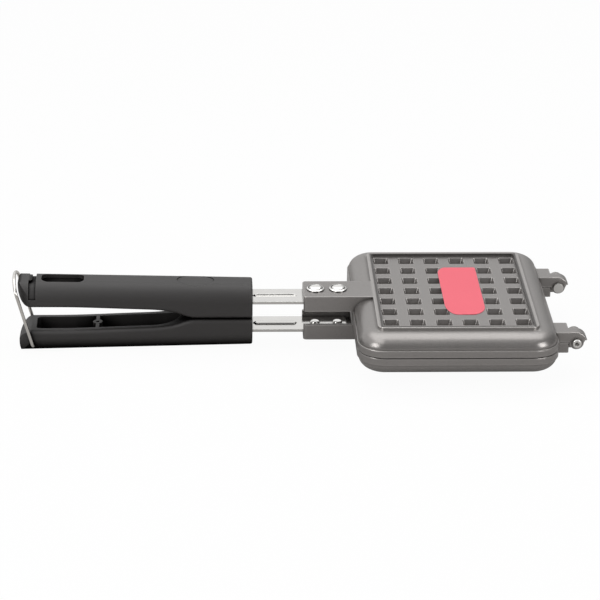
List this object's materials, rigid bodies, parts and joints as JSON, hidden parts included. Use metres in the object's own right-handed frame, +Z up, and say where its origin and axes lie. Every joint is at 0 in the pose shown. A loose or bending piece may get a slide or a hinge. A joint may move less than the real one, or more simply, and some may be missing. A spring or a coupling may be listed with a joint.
{
  "type": "stovetop waffle pan",
  "caption": "Hinged stovetop waffle pan with waffle grids inside and out, riveted steel straps, hollow handles and a wire bail that latches them shut.",
  "frame": {"origin": "centre of the lower casting's outer grid face, between its relief pockets", "axes": "+Z up from the lower casting to the upper one, +X from the handles to the hinges, +Y to the far side in the picture"},
  "size_m": [0.3483, 0.144, 0.0478],
  "materials": {
    "casting": "warm grey metallic non-stick coating with fine sparkle, satin",
    "strap": "mirror-bright stainless steel",
    "rivet": "polished",
    "pin": "satin steel",
    "handle": "black-brown phenolic, satin with soft highlights",
    "wire": "bright nickel-plated wire"
  },
  "bodies": {
    "base": {"lower_pan": "casting", "lower_strap": "strap", "lower_rivet_1": "rivet", "lower_rivet_2": "rivet", "lower_handle": "handle", "near_hinge_pin": "pin", "far_hinge_pin": "pin"},
    "lid": {"upper_pan": "casting", "upper_strap": "strap", "upper_rivet_1": "rivet", "upper_rivet_2": "rivet", "upper_handle": "handle"},
    "latch": {"bail": "wire"}
  },
  "joints": [
    {"name": "lid_hinge", "type": "hinge", "parent": "base", "child": "lid", "pos_m": [0.0725, 0, 0.0128], "axis": [0, 1, 0], "range_deg": [0, 135]},
    {"name": "bail_swing", "type": "hinge", "parent": "base", "child": "latch", "pos_m": [-0.2573, 0, -0.0047], "axis": [0, -1, 0], "range_deg": [-15, 239]}
  ]
}
